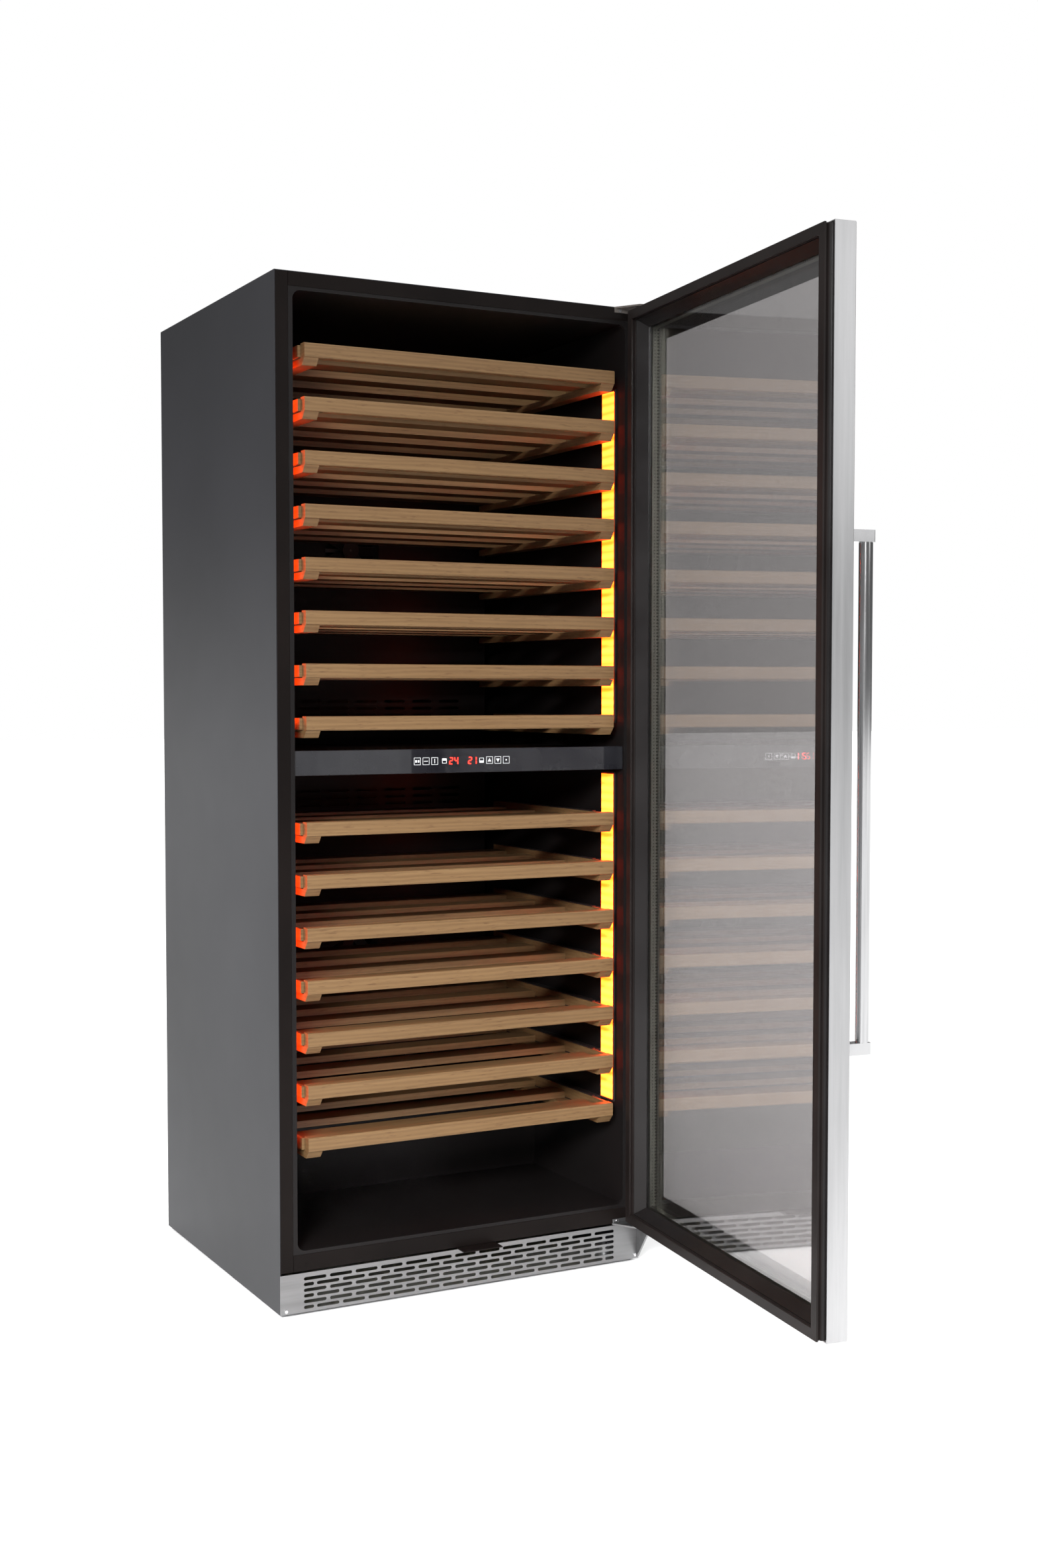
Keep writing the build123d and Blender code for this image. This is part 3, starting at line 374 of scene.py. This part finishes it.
finishes = {
    painted_sheet(): ["side_panel_left", "side_panel_right", "top_panel"],
    galvanised_sheet(): ["back_panel", "base_pan", "machine_cover"],
    foam(): ["insulation"],
    liner_black: ["inner_liner", "air_duct_upper", "air_duct_lower", "zone_divider"],
    black_glass(): ["control_panel"],
    board_plastic: ["control_board", "fan_frames", "power_inlet", "drip_tray"],
    rail_black: ["shelf_rails", "light_bars", "rotor_upper", "rotor_lower", "rotor_condenser"],
    frame_black: ["front_frame", "frame_plugs"],
    hinge_paint: ["hinge_top"],
    # Kick grille and bottom hinge wear the darker stainless copy, which is painted shade
    shaded_steel_across: ["kick_grille", "hinge_bottom"],
    steel_up: ["door_skin"],
    bright_post: ["handle_posts", "hinge_pins", "screws"],
    polished_steel(): ["handle_bar"],
    amber_light(): ["light_lenses"],
    coil_metal: ["evaporators", "condenser"],
    shell_paint: ["compressor"],
    foot_plastic: feet,
    beech(): shelves,
    door_plastic: ["door_inner_frame"],
    gasket_rubber: ["door_gasket"],
    clear_glass("outer_glass", PANE_TINT): ["glass_outer"],
    clear_glass("inner_glass", PANE_TINT): ["glass_inner"],
    spacer_metal(): ["glass_spacer"],
    bush_plastic: ["hinge_bushes"],
}
for material, names in finishes.items():
    for name in names:
        slots = nodes[name].data.materials
        slots.clear()
        slots.append(material)

# ---------------------------------------------------------------- softened edges

SHELF_EDGE = 0.0008
FITTING_EDGE = 0.0006
ROUNDED_FROM_DEGREES = 50
EDGE_STEPS = 2


def soften(name, width):
    """Rounds a CAD node's hard edges a little, without moving it."""
    bevel = nodes[name].modifiers.new("soft_edges", "BEVEL")
    bevel.width = width
    bevel.segments = EDGE_STEPS
    bevel.limit_method = "ANGLE"
    bevel.angle_limit = radians(ROUNDED_FROM_DEGREES)
    bevel.harden_normals = False


for name in shelves:
    soften(name, SHELF_EDGE)
for name in ("handle_posts", "hinge_top", "hinge_bottom", "control_panel"):
    soften(name, FITTING_EDGE)

# ---------------------------------------------------------------- control symbols

SYMBOL_STAND_OFF = 0.0002
SYMBOL_THICKNESS = 0.00015

panel_low, panel_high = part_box("control_panel")
SYMBOL_Y = panel_low.y - SYMBOL_STAND_OFF
SYMBOL_DEPTH = Vector((0, SYMBOL_THICKNESS, 0))
SYMBOL_Z = (panel_low.z + panel_high.z) / 2


def flat_piece(name, faces, material, body):
    """Thin mesh from flat polygons, each a pair of its corners and its thickness direction."""
    mesh = bpy.data.meshes.new(name)
    work = bmesh.new()
    for corners, depth in faces:
        front = [work.verts.new(corner) for corner in corners]
        back = [work.verts.new(Vector(corner) + depth) for corner in corners]
        work.faces.new(front)
        work.faces.new(list(reversed(back)))
        count = len(corners)
        for index in range(count):
            after = (index + 1) % count
            work.faces.new([front[after], front[index], back[index], back[after]])
    bmesh.ops.recalc_face_normals(work, faces=work.faces)
    work.to_mesh(mesh)
    work.free()
    piece = bpy.data.objects.new(name, mesh)
    mesh.materials.append(material)
    bpy.context.scene.collection.objects.link(piece)
    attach(piece, body)


def on_panel(corners):
    """Polygon on the control glass from (x, z) corners; z is measured from the panel's middle."""
    return [Vector((x, SYMBOL_Y, SYMBOL_Z + z)) for x, z in corners], SYMBOL_DEPTH


def bar(x_low, x_high, z_low, z_high):
    """Rectangle on the control glass."""
    return on_panel([(x_low, z_low), (x_high, z_low), (x_high, z_high), (x_low, z_high)])


def square_outline(middle_x, side, line):
    """Four bars that make a square outline."""
    half = side / 2
    return [
        bar(middle_x - half, middle_x + half, half - line, half),
        bar(middle_x - half, middle_x + half, -half, line - half),
        bar(middle_x - half, middle_x - half + line, line - half, half - line),
        bar(middle_x + half - line, middle_x + half, line - half, half - line),
    ]


def arrow(middle_x, size, up):
    """Filled triangle that points up or down."""
    tip = size if up else -size
    base = -tip * ARROW_BASE_SHARE
    return on_panel([(middle_x - size, base), (middle_x + size, base), (middle_x, tip)])


SEGMENTS = {"1": "bc", "2": "abged", "4": "fgbc"}


def digit(middle_x, character, wide, high, line):
    """Seven-segment digit."""
    left, right = middle_x - wide / 2, middle_x + wide / 2
    top, low = high / 2, -high / 2
    places = {
        "a": bar(left + line, right - line, top - line, top),
        "b": bar(right - line, right, line / 2, top - line / 3),
        "c": bar(right - line, right, low + line / 3, -line / 2),
        "d": bar(left + line, right - line, low, low + line),
        "e": bar(left, left + line, low + line / 3, -line / 2),
        "f": bar(left, left + line, line / 2, top - line / 3),
        "g": bar(left + line, right - line, -line / 2, line / 2),
    }
    return [places[segment] for segment in SEGMENTS[character]]


KEY_SIDE = 0.0125
KEY_LINE = 0.0006
LEFT_KEYS = (-0.0935, -0.0770, -0.0605)
RIGHT_KEYS = (0.0455, 0.0620, 0.0785)
MARK_REACH = 0.0038
PAIR_GAP_HALF = 0.0008
PAIR_HEIGHT_HALF = 0.002
DASH_HALF = 0.0005
POST_HALF = 0.0006
ARROW_SIZE = 0.0034
ARROW_BASE_SHARE = 0.7
DOT_HALF = 0.0012


def key_marks():
    """A plain shape in each key: two blocks, a dash, a post, two arrows and a dot."""
    blocks, dash, post = LEFT_KEYS
    arrow_up, arrow_down, dot = RIGHT_KEYS
    return [
        bar(blocks - MARK_REACH, blocks - PAIR_GAP_HALF, -PAIR_HEIGHT_HALF, PAIR_HEIGHT_HALF),
        bar(blocks + PAIR_GAP_HALF, blocks + MARK_REACH, -PAIR_HEIGHT_HALF, PAIR_HEIGHT_HALF),
        bar(dash - MARK_REACH, dash + MARK_REACH, -DASH_HALF, DASH_HALF),
        bar(post - POST_HALF, post + POST_HALF, -MARK_REACH, MARK_REACH),
        arrow(arrow_up, ARROW_SIZE, True),
        arrow(arrow_down, ARROW_SIZE, False),
        bar(dot - DOT_HALF, dot + DOT_HALF, -DOT_HALF, DOT_HALF),
    ]


ZONE_SIDE = 0.0085
ZONE_LINE = 0.0007
ZONE_FILL_NEAR = 0.0006
ZONE_FILL_FAR = 0.0036
UPPER_ZONE_X = -0.0420
LOWER_ZONE_X = 0.0300


def zone_mark(middle_x, z_low, z_high):
    """Square with its upper or lower half filled, beside a zone's temperature."""
    fill = bar(middle_x - ZONE_FILL_FAR, middle_x + ZONE_FILL_FAR, z_low, z_high)
    return square_outline(middle_x, ZONE_SIDE, ZONE_LINE) + [fill]


key_faces = []
for key_x in LEFT_KEYS + RIGHT_KEYS:
    key_faces += square_outline(key_x, KEY_SIDE, KEY_LINE)
key_faces += key_marks()
key_faces += zone_mark(UPPER_ZONE_X, ZONE_FILL_NEAR, ZONE_FILL_FAR)
key_faces += zone_mark(LOWER_ZONE_X, -ZONE_FILL_FAR, -ZONE_FILL_NEAR)
key_print = lit_symbol("key_print", colour=(0.60, 0.61, 0.62), strength=0.2)
flat_piece("control_keys", key_faces, key_print, "cabinet")

DIGIT_WIDE = 0.0075
DIGIT_HIGH = 0.0125
DIGIT_LINE = 0.0017
DIGITS = ((-0.0290, "2"), (-0.0190, "4"), (0.0075, "2"), (0.0165, "1"))

digit_faces = []
for middle, character in DIGITS:
    digit_faces += digit(middle, character, DIGIT_WIDE, DIGIT_HIGH, DIGIT_LINE)
digit_red = lit_symbol("digit_red", colour=(1.0, 0.02, 0.01), strength=5.0)
flat_piece("control_digits", digit_faces, digit_red, "cabinet")

# ---------------------------------------------------------------- camera, floor and light

CAMERA_PLACE = (-1.455, -3.234, 1.043)
CAMERA_TURN = -28.0
CAMERA_TILT = -2.71
LENS = 43.27
SENSOR_WIDTH = 36.0

camera_data = bpy.data.cameras.new("camera")
camera_data.sensor_width = SENSOR_WIDTH
camera_data.lens = LENS
camera = bpy.data.objects.new("camera", camera_data)
camera.location = CAMERA_PLACE
camera.rotation_euler = (radians(90 + CAMERA_TILT), 0, radians(CAMERA_TURN))
bpy.context.scene.collection.objects.link(camera)
bpy.context.scene.camera = camera

FLOOR_HALF = 40.0

floor_corners = [
    (-FLOOR_HALF, -FLOOR_HALF, 0),
    (FLOOR_HALF, -FLOOR_HALF, 0),
    (FLOOR_HALF, FLOOR_HALF, 0),
    (-FLOOR_HALF, FLOOR_HALF, 0),
]
floor_mesh = bpy.data.meshes.new("floor")
floor_mesh.from_pydata(floor_corners, [], [(0, 1, 2, 3)])
floor = bpy.data.objects.new("floor", floor_mesh)
floor_mesh.materials.append(pale_floor())
bpy.context.scene.collection.objects.link(floor)


def softbox(name, place, target, size, power, spread=180.0):
    """Rectangular area lamp at a place, aimed at a target; a grid narrows its spread."""
    lamp = bpy.data.lights.new(name, "AREA")
    lamp.shape = "RECTANGLE"
    lamp.size, lamp.size_y = size
    lamp.energy = power
    lamp.spread = radians(spread)
    holder = bpy.data.objects.new(name, lamp)
    holder.location = place
    aim = Vector(target) - Vector(place)
    holder.rotation_euler = aim.to_track_quat("-Z", "Y").to_euler()
    bpy.context.scene.collection.objects.link(holder)


softbox("key_light", (-3.0, -4.2, 2.4), target=(0.0, -0.3, 0.2), size=(1.4, 1.0), power=40, spread=44.0)
softbox("side_light", (-2.3, 4.4, 1.0), target=(-0.35, 0.1, 0.95), size=(1.6, 1.0), power=6)
softbox("door_light", (2.1, -4.8, 2.4), target=(0.3, -0.9, 1.0), size=(2.0, 1.6), power=16)
# Two dim cards that the control glass mirrors
softbox("glass_card_right", (2.75, -4.8, 0.74), target=(0.2, -0.3, 0.93), size=(1.3, 0.5), power=0.6)
softbox("glass_card_left", (1.72, -4.8, 0.74), target=(-0.2, -0.3, 0.93), size=(0.35, 0.5), power=0.16)

CAMERA_WHITE = 1.0
HORIZON_LIGHT = 0.15
OVERHEAD_LIGHT = 2.1
# The light grows while the sky direction's height goes from low to high
LOW_SKY = 0.15
HIGH_SKY = 0.85


def studio_world():
    """Room that is white to the eye, and as a light is dim near the horizon and bright overhead."""
    world = bpy.data.worlds.new("studio")
    world.use_nodes = True
    tree = world.node_tree
    sky = tree.nodes["Background"]
    sky.inputs["Color"].default_value = (1, 1, 1, 1)
    direction = tree.nodes.new("ShaderNodeTexCoord")
    axes = tree.nodes.new("ShaderNodeSeparateXYZ")
    tree.links.new(direction.outputs["Generated"], axes.inputs["Vector"])
    height = tree.nodes.new("ShaderNodeMapRange")
    height.interpolation_type = "SMOOTHSTEP"
    height.inputs["From Min"].default_value = LOW_SKY
    height.inputs["From Max"].default_value = HIGH_SKY
    height.inputs["To Min"].default_value = HORIZON_LIGHT
    height.inputs["To Max"].default_value = OVERHEAD_LIGHT
    tree.links.new(axes.outputs["Z"], height.inputs["Value"])
    seen = tree.nodes.new("ShaderNodeLightPath")
    level = tree.nodes.new("ShaderNodeMix")
    level.data_type = "FLOAT"
    level.inputs["B"].default_value = CAMERA_WHITE
    tree.links.new(seen.outputs["Is Camera Ray"], level.inputs["Factor"])
    tree.links.new(height.outputs["Result"], level.inputs["A"])
    tree.links.new(level.outputs["Result"], sky.inputs["Strength"])
    return world


bpy.context.scene.world = studio_world()
bpy.context.scene.view_settings.view_transform = "Standard"
